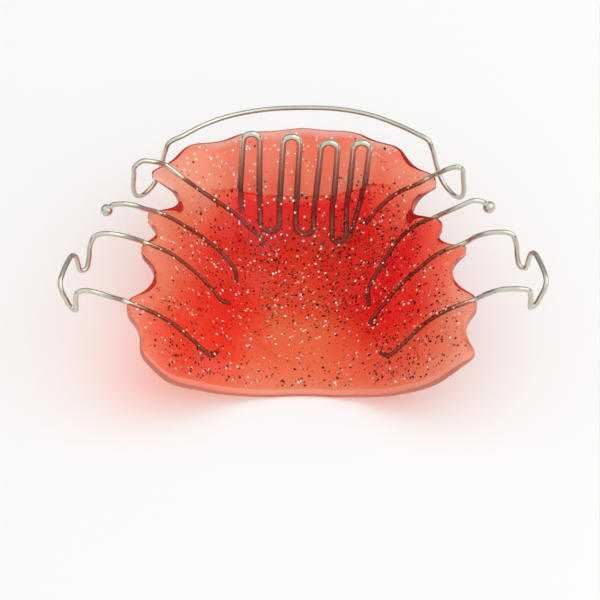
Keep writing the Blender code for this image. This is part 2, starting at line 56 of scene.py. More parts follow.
# Palate under the plate
VAULT_FLOOR_Z = -18.0 * MM
VAULT_RISE = 12.5 * MM
VAULT_FRONT_Y = -0.8 * MM
VAULT_TURN_Y = -18.0 * MM
VAULT_BACK_Y = -42.0 * MM
VAULT_HALF_LEFT = 19.6 * MM
VAULT_HALF_RIGHT = 18.0 * MM
VAULT_HALF_BACK = 21.6 * MM
VAULT_ROUNDNESS = 2.2
VAULT_STEEPNESS = 1.9
VAULT_FLAT_SHARE = 0.15
NECK_Z_SIDES = -6.9 * MM
NECK_Z_FRONT = -5.2 * MM
NECK_TURN_Y = -12.0 * MM
NECK_TURN = 8.0 * MM
NECK_BLEND = 0.9 * MM

# Plate
PLATE_THICKNESS = 2.4 * MM
NECK_THICKNESS = 1.7 * MM
THINNING_Z = -13.0 * MM
THINNING_RISE = 6.0 * MM
BACK_THICKNESS = 1.2 * MM
BACK_TAPER = 4.5 * MM
PLATE_STEEPEST = 1.6
PAD_THICKNESS = 2.0 * MM
PAD_FRONT_Y = -9.0 * MM
PAD_BOW = 1.0 * MM
PAD_STEP = 1.3 * MM
PAD_HOLD = 4.0 * MM
PAD_FADE = 16.0 * MM
PAD_HALF_WIDTH = 9.4 * MM
PAD_SIDE_FADE = 4.5 * MM
EDGE_RADIUS = 0.6 * MM
TISSUE_EDGE = 0.25 * MM
MARGIN_FILLET = 0.5 * MM
PLATE_MIDDLE_Y = -24.0 * MM
MARGIN_POINTS = 720
MARGIN_RAYS = 1800
RAY_STEPS = 1200
EDGE_STEPS = 8
NET_STEP = 0.55 * MM
NET_CLEAR = 0.3 * MM
SLOPE_STEP = 0.05 * MM

# Tooth necks that the plate is fitted to, from the central incisor back to the second molar:
# centre x, centre y, half width across the arch, half width along the arch
LEFT_NECKS = mm(
    (-4.4, 1.5, 2.3, 4.4),
    (-12.6, -1.3, 2.3, 3.5),
    (-20.2, -4.9, 2.9, 3.8),
    (-21.3, -13.2, 4.2, 3.3),
    (-24.1, -20.4, 4.2, 2.9),
    (-25.0, -29.3, 5.2, 5.0),
    (-26.1, -41.0, 5.0, 4.9),
)
RIGHT_NECKS = mm(
    (4.3, 1.5, 2.3, 4.3),
    (11.9, -1.3, 2.3, 3.4),
    (17.6, -5.6, 2.9, 3.6),
    (19.4, -14.6, 4.2, 3.3),
    (22.6, -20.7, 4.1, 2.7),
    (25.3, -28.8, 5.2, 5.0),
    (26.3, -39.8, 5.0, 4.9),
)
FIRST_MOLAR_INDEX = 5

# The acrylic's back edge, from left to right
BACK_EDGE = mm(
    (-20.8, -43.3),
    (-17.8, -44.8),
    (-13.0, -42.9),
    (-7.0, -40.9),
    (0.0, -40.2),
    (6.5, -40.9),
    (12.5, -43.2),
    (18.4, -45.1),
    (22.3, -43.7),
)

# How far the acrylic reaches behind the front teeth and between the side teeth, and round its back edge
MARGIN_REACH = [
    *mm(
        (0.0, -0.5),
        (-8.9, -1.9),
        (-15.6, -4.3),
        (-21.2, -8.8),
        (-21.3, -17.6),
        (-21.8, -24.0),
        (-23.1, -35.5),
    ),
    *BACK_EDGE,
    *mm(
        (23.1, -34.6),
        (22.4, -23.6),
        (19.0, -18.3),
        (18.6, -9.6),
        (13.9, -5.0),
        (8.4, -1.9),
    ),
]

# Wires
CLASP_WIRE = 0.7 * MM
CRIB_WIRE = 0.9 * MM
BALL_DIAMETER = 1.7 * MM
BALL_FLAT = math.radians(3.0)
BALL_STEPS = 24
EXIT_LIFT = 0.1 * MM
WIRE_STEP = 0.35 * MM
WIRE_ROUND_STEPS = 7
BEND_STEP = math.radians(7.0)
SHORTEST_STEP = 0.1 * MM

# Tongue crib: for each loop the x of its top, of its left foot and of its right foot, and the z of its top
CRIB_LOOPS = mm(
    (-7.0, -8.9, -6.1, 0.6),
    (-1.4, -3.3, -0.9, 0.0),
    (3.9, 1.7, 4.4, -0.9),
    (8.4, 6.5, 8.6, -0.7),
)
CRIB_LOOP_WIDTH = 2.3 * MM
CRIB_FOLD_Y = -9.3 * MM
CRIB_FOLD_RADIUS = 2.0 * MM
CRIB_LEAN = math.radians(8.0)
CRIB_TURNS_BACK = (2.6 * MM, 2.5 * MM, 4.4 * MM)
CRIB_ENDS_BACK = (0.9 * MM, 4.4 * MM)
CRIB_ENDS_SHIFT = (0.1 * MM, -1.6 * MM)

# Labial bow, from the left canine round the front teeth to the right canine
BOW_Z = -3.6 * MM
BOW_ARC = mm(
    (-17.0, -3.0),
    (-13.7, -0.3),
    (-9.9, 1.7),
    (-5.2, 3.0),
    (0.0, 3.4),
    (5.2, 3.1),
    (9.7, 1.8),
    (13.1, -0.1),
    (16.1, -2.3),
)

# Loop of the bow beside a canine, from the crossing to the arc: share of the way, then outwards and z
BOW_LOOP_SHARES = (0.02, 0.04, 0.15, 0.36, 0.58, 0.70, 0.76, 0.83)
BOW_LOOP = mm(
    (0.4, -4.2),
    (0.9, -7.4),
    (1.3, -9.6),
    (1.6, -10.6),
    (1.6, -9.9),
    (1.5, -7.9),
    (1.2, -5.5),
    (0.9, -4.1),
)

# Where each wire crosses between two teeth, from its way out of the acrylic to the cheek side
LEFT_BOW_CROSSING = mm(
    (-19.0, -9.2, -3.7),
    (-20.6, -10.0, -2.4),
    (-22.2, -10.4, -2.0),
    (-23.2, -11.0, -2.5),
)
RIGHT_BOW_CROSSING = mm(
    (18.9, -10.9, -3.8),
    (20.1, -11.5, -2.5),
    (21.4, -11.6, -2.0),
    (22.2, -11.4, -2.6),
)
LEFT_BALL_CROSSING = mm(
    (-21.4, -18.3, -3.8),
    (-22.9, -19.0, -2.5),
    (-24.4, -19.3, -2.0),
    (-25.7, -19.2, -2.3),
)
RIGHT_BALL_CROSSING = mm(
    (20.1, -18.8, -3.7),
    (21.6, -19.1, -2.5),
    (23.2, -18.9, -1.8),
    (24.6, -18.7, -2.2),
)
LEFT_BALL = (-26.6 * MM, -18.9 * MM, -3.5 * MM)
RIGHT_BALL = (25.5 * MM, -18.4 * MM, -3.4 * MM)
LEFT_FRONT_CROSSING = mm((-22.7, -24.3, -3.8), (-24.6, -25.1, -2.4), (-26.6, -25.3, -2.0))
LEFT_BACK_CROSSING = mm((-25.0, -35.9, -3.5), (-26.8, -36.4, -2.2), (-28.3, -36.3, -2.0))
RIGHT_FRONT_CROSSING = mm((23.3, -24.2, -3.6), (24.8, -24.9, -2.3), (26.5, -25.0, -2.0))
RIGHT_BACK_CROSSING = mm((24.2, -35.2, -3.6), (25.9, -35.8, -2.3), (28.4, -36.0, -2.0))

# Tags in plan, from the way out of the acrylic to the bent end
LEFT_BOW_TAG = mm(
    (-17.3, -9.8),
    (-14.5, -9.9),
    (-11.3, -10.6),
    (-7.8, -12.1),
    (-5.9, -13.2),
    (-5.5, -14.3),
)
RIGHT_BOW_TAG = mm((17.8, -10.4), (16.0, -10.7), (13.2, -10.5), (11.4, -11.3), (9.2, -13.0))
LEFT_BALL_TAG = mm(
    (-19.9, -17.4),
    (-16.9, -17.4),
    (-13.8, -17.2),
    (-11.1, -18.4),
    (-9.5, -20.5),
    (-9.3, -22.0),
)
RIGHT_BALL_TAG = mm(
    (18.8, -18.1),
    (15.5, -18.1),
    (13.7, -18.4),
    (11.2, -21.1),
    (9.4, -24.0),
    (9.4, -26.6),
)
LEFT_FRONT_TAG = mm(
    (-21.4, -23.6),
    (-18.0, -24.0),
    (-14.9, -24.5),
    (-12.5, -25.6),
    (-11.2, -26.7),
    (-10.1, -26.3),
)
LEFT_BACK_TAG = mm(
    (-23.4, -35.0),
    (-20.5, -35.7),
    (-17.1, -36.1),
    (-14.1, -37.0),
    (-12.4, -37.5),
    (-11.6, -36.3),
)
RIGHT_FRONT_TAG = mm(
    (22.2, -23.6),
    (19.0, -24.6),
    (16.3, -25.8),
    (13.3, -26.6),
    (10.8, -28.4),
    (9.5, -29.8),
    (10.3, -30.6),
)
RIGHT_BACK_TAG = mm(
    (22.8, -34.7),
    (19.3, -35.4),
    (16.6, -35.6),
    (13.8, -36.6),
    (11.8, -37.2),
    (10.7, -36.0),
)

# Adams clasp on the cheek side of a first molar, from the centre of its neck: outwards, forwards, and z
ARROWHEADS = mm(
    (2.7, 3.7, -2.3),
    (3.4, 3.3, -3.7),
    (3.6, 2.7, -5.4),
    (4.0, 1.9, -6.5),
    (4.7, 1.5, -6.4),
    (5.0, 1.6, -5.0),
    (5.2, 1.5, -3.8),
    (5.6, 0.8, -3.1),
    (6.7, -4.4, -3.1),
    (6.5, -5.1, -3.8),
    (6.0, -5.5, -5.0),
    (5.4, -5.6, -6.4),
    (4.8, -6.0, -6.5),
    (4.6, -6.6, -5.3),
    (4.5, -7.0, -3.7),
    (4.2, -7.1, -2.4),
)


def ease(u):
    """Rises smoothly from 0 to 1."""
    u = np.clip(u, 0.0, 1.0)
    return u * u * (3.0 - 2.0 * u)


def lowest(values, blend):
    """The smallest of several values, with a rounded change from one to the next."""
    values = np.stack(values)
    low = values.min(axis=0)
    return low - blend * np.log(np.exp((low - values) / blend).sum(axis=0))


def palate(x, y):
    """Height of the palate, which the plate's under side lies on."""
    half_front = np.where(x < 0.0, VAULT_HALF_LEFT, VAULT_HALF_RIGHT)
    behind = np.clip((VAULT_TURN_Y - y) / (VAULT_TURN_Y - VAULT_BACK_Y), 0.0, None)
    across = np.abs(x) / (half_front + (VAULT_HALF_BACK - half_front) * behind)
    ahead = np.clip((y - VAULT_TURN_Y) / (VAULT_FRONT_Y - VAULT_TURN_Y), 0.0, None)
    reach = (across**VAULT_ROUNDNESS + ahead**VAULT_ROUNDNESS) ** (1.0 / VAULT_ROUNDNESS)
    climb = np.clip(reach - VAULT_FLAT_SHARE, 0.0, None) / (1.0 - VAULT_FLAT_SHARE)
    vault = VAULT_FLOOR_Z + VAULT_RISE * climb**VAULT_STEEPNESS
    neck = NECK_Z_SIDES + (NECK_Z_FRONT - NECK_Z_SIDES) * ease((y - NECK_TURN_Y) / NECK_TURN)
    return lowest((vault, neck), NECK_BLEND)


def pad_front(x):
    """Where the pad reaches its full thickness, further back towards its sides."""
    return PAD_FRONT_Y - PAD_BOW * (x / PAD_HALF_WIDTH) ** 2


def pad(x, y):
    """Extra thickness that holds the crib and the inner ends of the tags."""
    front = ease((pad_front(x) + PAD_STEP - y) / PAD_STEP)
    back = 1.0 - ease((PAD_FRONT_Y - PAD_HOLD - y) / PAD_FADE)
    side = 1.0 - ease((np.abs(x) - PAD_HALF_WIDTH) / PAD_SIDE_FADE)
    return PAD_THICKNESS * front * back * side


def thickness(x, y):
    """Thickness of the plate, which thins towards the tooth necks and towards its back edge."""
    near_neck = ease((palate(x, y) - THINNING_Z) / THINNING_RISE)
    full = PLATE_THICKNESS + (NECK_THICKNESS - PLATE_THICKNESS) * near_neck
    back_y = np.interp(x, *zip(*BACK_EDGE))
    return BACK_THICKNESS + (full - BACK_THICKNESS) * ease((y - back_y) / BACK_TAPER) + pad(x, y)


def slopes(height, x, y):
    """How steeply a side of the plate rises along X and along Y."""
    slope_x = (height(x + SLOPE_STEP, y) - height(x - SLOPE_STEP, y)) / (2.0 * SLOPE_STEP)
    slope_y = (height(x, y + SLOPE_STEP) - height(x, y - SLOPE_STEP)) / (2.0 * SLOPE_STEP)
    return slope_x, slope_y


def rise_over(x, y):
    """Height of the plate's upper side over the palate, larger where the palate is steep."""
    slope_x, slope_y = slopes(palate, x, y)
    slope = np.minimum(np.sqrt(slope_x**2 + slope_y**2), PLATE_STEEPEST)
    return thickness(x, y) * np.sqrt(1.0 + slope**2)


def upper(x, y):
    """Height of the plate's upper side."""
    return palate(x, y) + rise_over(x, y)


def middle(x, y):
    """Height halfway through the plate."""
    return palate(x, y) + 0.5 * rise_over(x, y)


def spline(points, step, closed=False):
    """Points along a smooth curve through the given points, about one step apart."""
    points = [Vector(point) for point in points]
    if closed:
        row = [points[-1]] + points + points[:2]
    else:
        row = [2.0 * points[0] - points[1]] + points + [2.0 * points[-1] - points[-2]]
    path = [row[1]]
    for p0, p1, p2, p3 in zip(row, row[1:], row[2:], row[3:]):
        t1 = math.sqrt((p1 - p0).length)
        t2 = t1 + math.sqrt((p2 - p1).length)
        t3 = t2 + math.sqrt((p3 - p2).length)
        pieces = max(1, round((p2 - p1).length / step))
        for i in range(1, pieces + 1):
            t = t1 + (t2 - t1) * i / pieces
            share = (t - t1) / (t2 - t1)
            a = p0.lerp(p1, t / t1)
            b = p1.lerp(p2, share)
            c = p2.lerp(p3, (t - t2) / (t3 - t2))
            path.append(a.lerp(b, t / t2).lerp(b.lerp(c, (t - t1) / (t3 - t1)), share))
    return path[:-1] if closed else path


def rounded(corners, radii):
    """A line through the corners whose bends are arcs of the given radii."""
    path = [corners[0]]
    for before, corner, after, radius in zip(corners, corners[1:], corners[2:], radii):
        back = (before - corner).normalized()
        ahead = (after - corner).normalized()
        half = back.angle(ahead) / 2.0
        centre = corner + (back + ahead).normalized() * radius / math.sin(half)
        start = (corner + back * radius / math.tan(half) - centre).normalized()
        end = (corner + ahead * radius / math.tan(half) - centre).normalized()
        pieces = max(2, round((math.pi - 2.0 * half) / BEND_STEP))
        for i in range(pieces + 1):
            point = centre + start.slerp(end, i / pieces) * radius
            if (point - path[-1]).length > SHORTEST_STEP:
                path.append(point)
    return path + [corners[-1]]


def tag(plan):
    """The way of a tag: out of the acrylic at its first point, and halfway through the plate beyond."""
    (x, y), *rest = plan
    return [Vector((x, y, upper(x, y) + EXIT_LIFT))] + [Vector((x, y, middle(x, y))) for x, y in rest]


def crossing_path(plan, crossing):
    """From a tag's bent end through the plate and over the contact between two teeth."""
    return tag(plan)[::-1] + [Vector(point) for point in crossing]


def crib_path():
    """Four standing loops, joined and ended by bends that lie in the pad."""

    def laid(x, back):
        y = CRIB_FOLD_Y - back
        return Vector((x, y, middle(x, y)))

    def standing(x, z):
        fold = laid(x, 0.0)
        return Vector((x, fold.y + (z - fold.z) * math.tan(CRIB_LEAN), z))

    half = CRIB_LOOP_WIDTH / 2.0
    first_foot = CRIB_LOOPS[0][1]
    corners = [laid(first_foot + CRIB_ENDS_SHIFT[0], CRIB_ENDS_BACK[0])]
    radii = []
    for i, (top_x, left_foot, right_foot, top_z) in enumerate(CRIB_LOOPS):
        corners += [
            laid(left_foot, 0.0),
            standing(top_x - half, top_z),
            standing(top_x + half, top_z),
            laid(right_foot, 0.0),
        ]
        radii += [CRIB_FOLD_RADIUS, half, half, CRIB_FOLD_RADIUS]
        if i < len(CRIB_LOOPS) - 1:
            next_foot = CRIB_LOOPS[i + 1][1]
            back = CRIB_TURNS_BACK[i]
            corners += [laid(right_foot, back), laid(next_foot, back)]
            radii += [(next_foot - right_foot) / 2.0] * 2
    last_foot = CRIB_LOOPS[-1][2]
    corners.append(laid(last_foot + CRIB_ENDS_SHIFT[1], CRIB_ENDS_BACK[1]))
    return rounded(corners, radii)


def bow_loop(crossing_end, arc_end):
    """The loop of the bow beside a canine, from the crossing to the start of the arc."""
    start = Vector(crossing_end)
    way = Vector((*arc_end, BOW_Z)) - start
    outwards = Vector((-way.y, way.x, 0.0)).normalized()
    if outwards.x * start.x < 0.0:
        outwards.negate()
    points = []
    for share, (out, z) in zip(BOW_LOOP_SHARES, BOW_LOOP):
        place = start + way * share + outwards * out
        points.append(Vector((place.x, place.y, z)))
    return points


def bow_path():
    """The labial bow, from its left tag to its right tag."""
    left = crossing_path(LEFT_BOW_TAG, LEFT_BOW_CROSSING)
    right = crossing_path(RIGHT_BOW_TAG, RIGHT_BOW_CROSSING)
    left += bow_loop(LEFT_BOW_CROSSING[-1], BOW_ARC[0])
    right += bow_loop(RIGHT_BOW_CROSSING[-1], BOW_ARC[-1])
    arc = [Vector((x, y, BOW_Z)) for x, y in BOW_ARC]
    return spline(left + arc + right[::-1], WIRE_STEP)


def adams_path(necks, front_tag, front_crossing, back_tag, back_crossing):
    """An Adams clasp, from its front tag round the first molar to its back tag."""
    x, y, _, _ = necks[FIRST_MOLAR_INDEX]
    side = math.copysign(1.0, x)
    hold = [Vector((x + side * out, y + ahead, z)) for out, ahead, z in ARROWHEADS]
    front = crossing_path(front_tag, front_crossing)
    back = crossing_path(back_tag, back_crossing)
    return spline(front + hold + back[::-1], WIRE_STEP)


def ball_clasp(plan, crossing, ball):
    """The path of a ball clasp and the widths along it, which swell to the ball at its end."""
    path = spline(crossing_path(plan, crossing) + [Vector(ball)], WIRE_STEP)
    centre = path[-1]
    along = (path[-1] - path[-2]).normalized()
    path = [point for point in path if (point - centre).length > BALL_DIAMETER / 2.0]
    widths = [1.0] * len(path)
    neck = math.asin(CLASP_WIRE / BALL_DIAMETER)
    for i in range(BALL_STEPS + 1):
        angle = neck + (math.pi - BALL_FLAT - neck) * i / BALL_STEPS
        path.append(centre - along * math.cos(angle) * BALL_DIAMETER / 2.0)
        widths.append(math.sin(angle) * BALL_DIAMETER / CLASP_WIRE)
    return path, widths


def margin():
    """Points round the plate's margin, evenly spaced: where the acrylic meets the tooth necks."""
    hub = Vector((0.0, PLATE_MIDDLE_Y))
    limit = np.array([point - hub for point in spline(MARGIN_REACH, MARGIN_FILLET, closed=True)])
    limit_angle = np.arctan2(limit[:, 1], limit[:, 0])
    limit_reach = np.hypot(limit[:, 0], limit[:, 1])
    angle = np.linspace(-math.pi, math.pi, MARGIN_RAYS + 1)[:-1]
    reach = np.interp(angle, limit_angle, limit_reach, period=2.0 * math.pi)
    travel = np.linspace(0.0, reach.max() + MARGIN_FILLET, RAY_STEPS + 1)[None, :]
    x = travel * np.cos(angle)[:, None]
    y = travel * np.sin(angle)[:, None] + PLATE_MIDDLE_Y
    gaps = [reach[:, None] - travel]
    for necks in (LEFT_NECKS, RIGHT_NECKS):
        for i, (neck_x, neck_y, across, along) in enumerate(necks):
            ahead = Vector(necks[max(i - 1, 0)][:2])
            behind = Vector(necks[min(i + 1, len(necks) - 1)][:2])
            if i == 0:
                ahead = Vector((-behind.x, behind.y))
            way = (behind - ahead).normalized()
            u = ((x - neck_x) * way.x + (y - neck_y) * way.y) / along
            v = ((x - neck_x) * way.y - (y - neck_y) * way.x) / across
            gaps.append((np.hypot(u, v) - 1.0) * across)
    gap = lowest(gaps, MARGIN_FILLET)
    first = (gap < 0.0).argmax(axis=1)
    rows = np.arange(len(angle))
    before = gap[rows, first - 1]
    after = gap[rows, first]
    distance = travel[0, first - 1] + (travel[0, first] - travel[0, first - 1]) * before / (before - after)
    outline = np.stack([distance * np.cos(angle), distance * np.sin(angle) + PLATE_MIDDLE_Y], axis=1)
    closed = np.vstack([outline, outline[:1]])
    length = np.concatenate([[0.0], np.cumsum(np.hypot(*np.diff(closed, axis=0).T))])
    stations = np.linspace(0.0, length[-1], MARGIN_POINTS + 1)[:-1]
    return np.stack([np.interp(stations, length, closed[:, i]) for i in (0, 1)], axis=1)


def inside_points(border):
    """Plan points of a net of even triangles inside a border."""
    row_step = NET_STEP * math.sqrt(3.0) / 2.0
    low = border.min(axis=0)
    high = border.max(axis=0)
    points = []
    for row, y in enumerate(np.arange(low[1], high[1], row_step)):
        start = low[0] + (row % 2) * NET_STEP / 2.0
        points += [(x, y) for x in np.arange(start, high[0], NET_STEP)]
    points = np.array(points)
    return points[clear_of(border, points, NET_CLEAR) & within(border, points)]


def clear_of(border, points, room):
    """Which points lie at least the room away from the border."""
    return np.hypot(*(points[:, None] - border[None]).T).min(axis=0) > room


def within(border, points):
    """Which points lie inside the border."""
    after = np.roll(border, -1, axis=0)
    x, y = points[:, 0, None], points[:, 1, None]
    spans = (border[:, 1] > y) != (after[:, 1] > y)
    rise = np.where(after[:, 1] == border[:, 1], 1.0, after[:, 1] - border[:, 1])
    crossed = spans & (x < border[:, 0] + (y - border[:, 1]) / rise * (after[:, 0] - border[:, 0]))
    return crossed.sum(axis=1) % 2 == 1


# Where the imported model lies
PLACE = Vector((-0.152, 20.677, 18.0)) * MM

# Over how many margin points each way the edge's directions are evened out
CALM_POINTS = 14

# The plate's sides are filled inside their outline only, with corners at least this far apart
FILL_INSIDE = 1
FILL_LIMIT = 1e-9

# The back edge carries a painted highlight, a paler haze along its margin: how far in from the margin, from
# where on, and over what length that starts
RIM_HIGHLIGHT_WIDTH = 0.45 * MM
RIM_HIGHLIGHT_START_Y = -34.0 * MM
RIM_HIGHLIGHT_START = 5.0 * MM

# Over what height the plate's look changes from its upper side's to its under side's
UNDER_CHANGE = 0.3 * MM

# Above this angle a wire's faces meet in a sharp edge
WIRE_SHARP_ANGLE = math.radians(60.0)

# How suddenly a patch ends
PATCH_END = 1.5


def patches(*rows):
    """Patches of the plate, in metres: centre x and y, half width across and along, and how much."""
    return [(*(value * MM for value in row[:4]), row[4]) for row in rows]


# Where the acrylic is coloured more strongly
POOLS = patches(
    (0.0, 0.0, 24.0, 8.5, 0.52),
    (0.0, -17.0, 9.0, 9.0, 0.25),
    (-8.0, -10.5, 4.0, 4.5, 0.40),
    (-7.0, -15.0, 6.0, 7.0, 0.20),
    (8.5, -10.5, 4.0, 3.5, 0.35),
    (11.0, -16.5, 8.0, 9.5, 0.62),
    (-12.5, -23.0, 5.0, 12.0, 0.55),
    (-14.0, -36.0, 5.0, 8.5, 0.34),
    (-18.0, -39.0, 3.5, 6.0, 0.30),
    (15.0, -25.5, 6.3, 9.5, 0.64),
    (14.0, -36.0, 5.5, 8.5, 0.42),
    (8.5, -28.0, 3.5, 7.0, 0.42),
    (-8.5, -28.0, 3.5, 7.0, 0.30),
)

# Where the glitter lies thickest
GLITTER_BEDS = patches(
    (-8.5, -19.0, 7.0, 8.0, 0.70),
    (8.5, -19.0, 7.0, 8.5, 1.30),
    (0.0, -19.0, 7.0, 7.0, 0.55),
    (0.0, -12.5, 9.0, 3.5, 0.35),
    (0.0, -26.5, 9.0, 4.0, 0.35),
    (-13.0, -34.0, 6.0, 9.0, 0.45),
    (13.5, -34.0, 6.5, 9.5, 0.70),
    (-13.0, -42.0, 7.0, 3.5, 0.45),
    (0.0, -38.5, 9.0, 3.0, 0.45),
    (15.0, -42.0, 7.0, 3.5, 0.45),
)

# The strong colour along the pad's front: how far ahead of the front it starts, over what length it rises, how
# far on it begins to fade, over what length it fades, and how much it is
PAD_COLOUR_AHEAD = 2.8 * MM
PAD_COLOUR_STEP = 0.5 * MM
PAD_COLOUR_HOLD = 2.5 * MM
PAD_COLOUR_FADE = 5.0 * MM
PAD_COLOUR = 0.85

# Unevenness of the hand-polished side: size of each wave and its height
POLISH_WAVES = ((7.0 * MM, 0.05 * MM), (2.4 * MM, 0.010 * MM))

# Unevenness of the acrylic's colour: size of each wave and its share
MOTTLING = ((5.5 * MM, 0.16), (2.0 * MM, 0.10))

# Kinds of flakes: foil, how many are tried, the share that is kept outside the beds and the share that is added
# in them, how many times more lie in the front, least and largest radius, and least and largest depth, from 0
# at the upper side to 1 at the under side
FLAKES = (
    (0, 5200, 0.085, 0.030, 3.4, 0.13 * MM, 0.21 * MM, -0.006, 0.015),
    (0, 9000, 0.018, 0.020, 1.2, 0.12 * MM, 0.18 * MM, 0.05, 0.30),
    (1, 12000, 0.008, 0.270, 0.3, 0.13 * MM, 0.21 * MM, -0.006, 0.02),
    (1, 16000, 0.012, 0.260, 0.3, 0.08 * MM, 0.13 * MM, -0.006, 0.20),
    (2, 6000, 0.030, 0.080, 0.3, 0.11 * MM, 0.19 * MM, 0.05, 0.60),
    (3, 6000, 0.020, 0.060, 0.5, 0.12 * MM, 0.19 * MM, -0.006, 0.05),
)
FLAKE_SEED = 7
FLAKE_SIDES = 6

# Power of their random size, above 1 so that more are small, how much their tilt varies, and their room along
# the margin
FLAKE_SMALLNESS = 1.5
FLAKE_TILT = 0.12
FLAKE_EDGE_ROOM = 0.9 * MM

# Most that beds can add up to where they overlap
FULLEST_BED = 1.5

# The front of the plate is steep, so more flakes lie there for the same room in plan
STEEP_FRONT = patches((0.0, -3.5, 26.0, 5.5, 1.0))

# Foils of the flakes: name, lightest and darkest colour, how metallic, how rough and how glossy
FOILS = (
    ("silver_flakes", (1.0, 0.98, 0.93), (0.72, 0.71, 0.66), 0.10, 0.45, 0.5),
    # These dark flakes are a painted shade: foil flakes turned away from the light, given a near-black colour of
    # their own
    ("shaded_foil_flakes", (0.03, 0.008, 0.008), (0.006, 0.004, 0.004), 0.2, 0.50, 0.05),
    ("red_flakes", (0.60, 0.05, 0.04), (0.30, 0.02, 0.02), 0.3, 0.40, 0.5),
    ("teal_flakes", (0.45, 0.75, 0.72), (0.20, 0.42, 0.42), 0.2, 0.40, 0.5),
)

# Noise rarely goes beyond these limits
NOISE_LOW, NOISE_HIGH = 0.3, 0.7

# Colours of the acrylic from where it is thin to where it has pooled: of its under side and of its haze
UNDER_TINTS = (
    (0.00, (0.90, 0.94, 0.90)),
    (0.25, (0.94, 0.52, 0.40)),
    (0.50, (0.97, 0.22, 0.15)),
    (0.75, (0.97, 0.06, 0.05)),
    (1.00, (0.96, 0.006, 0.012)),
)
CLOUD_TINTS = (
    (0.00, (0.90, 0.18, 0.09)),
    (0.50, (0.90, 0.05, 0.025)),
    (1.00, (0.90, 0.010, 0.013)),
)

# Colours of its upper side, of the painted highlight at its back rim, and of its body
UPPER_TINT = (0.95, 0.89, 0.85)
RIM_HIGHLIGHT_TINT = (0.92, 0.40, 0.29)
BODY_TINT = (0.985, 0.40, 0.06)

# Share of the haze in the acrylic, and of the painted highlight at its rim
HAZE = 0.15
RIM_HIGHLIGHT_HAZE = 0.42

# The acrylic's least and most roughness, how much it bends light, which is less than real acrylic's 1.49 so that
# it mirrors less of the sky, and how strongly its body colours light
ACRYLIC_ROUGHNESS = (0.03, 0.09)
ACRYLIC_IOR = 1.25
ACRYLIC_DENSITY = 400.0

# Colours of the steel, and the painted shade that stands in for its part that lies in the acrylic
STEEL_TINTS = ((0.72, 0.73, 0.62), (0.48, 0.49, 0.41))
BURIED_SHADE_TINT = (0.14, 0.12, 0.11)

# The steel's least and most roughness, and how metallic it is, less than 1 so that it shows a tone of its own
STEEL_ROUGHNESS = (0.12, 0.20)
STEEL_METALLIC = 0.80

# Floor: its colours, its roughness, its size, and how far it lies under the model
FLOOR_TINTS = ((0.955, 0.955, 0.95), (0.94, 0.94, 0.935))
FLOOR_ROUGHNESS = 0.8
FLOOR_SIZE = 3.0
FLOOR_GAP = 0.03 * MM

# The room is bright overhead and along the horizon on the back edge's side, dim along the rest of the horizon,
# and less bright at every height on the front teeth's side
BRIGHT_LIGHT = 1.02
NEAR_LIGHT = 0.8
DIM_LIGHT = 0.10
FAR_SHARE = 0.35

# Where each of these changes starts and ends: how far a direction rises, or how far it goes towards the front
BRIGHT_FROM, BRIGHT_TO = 0.12, 0.55
NEAR_FROM, NEAR_TO = -0.70, -0.30
FAR_FROM, FAR_TO = 0.25, 0.65

# Lamp: its place, its width and its power in watts
LAMP_PLACE = Vector((0.74, -0.10, 0.78))
LAMP_WIDTH = 1.3
LAMP_POWER = 5.0

# Camera: how far it looks down, how far off it is, its focal length and picture size in pixels, its sensor's
# width, and how far the picture's middle lies to the right of the drawing's origin and above it, in pixels
CAMERA_RISE = math.radians(44.0)
CAMERA_DISTANCE = 295.0 * MM
FOCAL_PIXELS = 2085.0
PICTURE_PIXELS = 600.0
SENSOR_WIDTH = 36.0
AIM_PIXELS = (-2.0, -197.0)


def add(name, data):
    """A new object in the scene."""
    thing = bpy.data.objects.new(name, data)
    bpy.context.scene.collection.objects.link(thing)
    return thing


def mesh_of(name, shape):
    """A mesh of a finished shape."""
    mesh = bpy.data.meshes.new(name)
    shape.to_mesh(mesh)
    shape.free()
    return mesh


def keep(name, mesh, materials, finish_of, *nodes):
    """Adds a piece that rides on the model and stands for its nodes."""
    piece = add(name, mesh)
    for material in materials:
        mesh.materials.append(material)
    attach(piece, "root")
    if nodes:
        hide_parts(*nodes)


def keep_wire(name, path, diameter, wire_node, widths=None):
    """Adds a wire that stands for its node."""
    keep(name, tube(name, path, diameter, widths), [STEEL], "steel_wire", wire_node)


def tube(name, path, diameter, widths):
    """A mesh with a round section along a path. The widths scale the section at each point."""
    curve = bpy.data.curves.new(name, "CURVE")
    curve.dimensions = "3D"
    curve.bevel_depth = diameter / 2.0
    curve.bevel_resolution = WIRE_ROUND_STEPS
    curve.use_fill_caps = True
    line = curve.splines.new("POLY")
    line.points.add(len(path) - 1)
    for point, place, width in zip(line.points, path, widths or [1.0] * len(path)):
        point.co = (*(place + PLACE), 1.0)
        point.radius = width
    pattern = bpy.data.objects.new(name, curve)
    mesh = bpy.data.meshes.new_from_object(pattern)
    bpy.data.objects.remove(pattern)
    bpy.data.curves.remove(curve)
    mesh.name = name
    mesh.shade_smooth()
    mesh.set_sharp_from_angle(angle=WIRE_SHARP_ANGLE)
    x, y, z = places_of(mesh).T
    over_plate = within(PLATE_EDGE, np.stack([x, y], axis=1))
    # How deep the wire lies in the acrylic, which sets where the steel's colour turns to a painted shade
    give(mesh, "buried_shade_share", np.clip((upper(x, y) - z) / diameter, 0.0, 1.0) * over_plate)
    return mesh


def places_of(mesh):
    """Where a mesh's corners lie in the drawing."""
    return np.array([vertex.co[:] for vertex in mesh.vertices]) - np.array(PLACE)


def give(mesh, name, values):
    """Stores a value for each of a mesh's corners, for its material."""
    mesh.attributes.new(name, "FLOAT", "POINT").data.foreach_set("value", values)


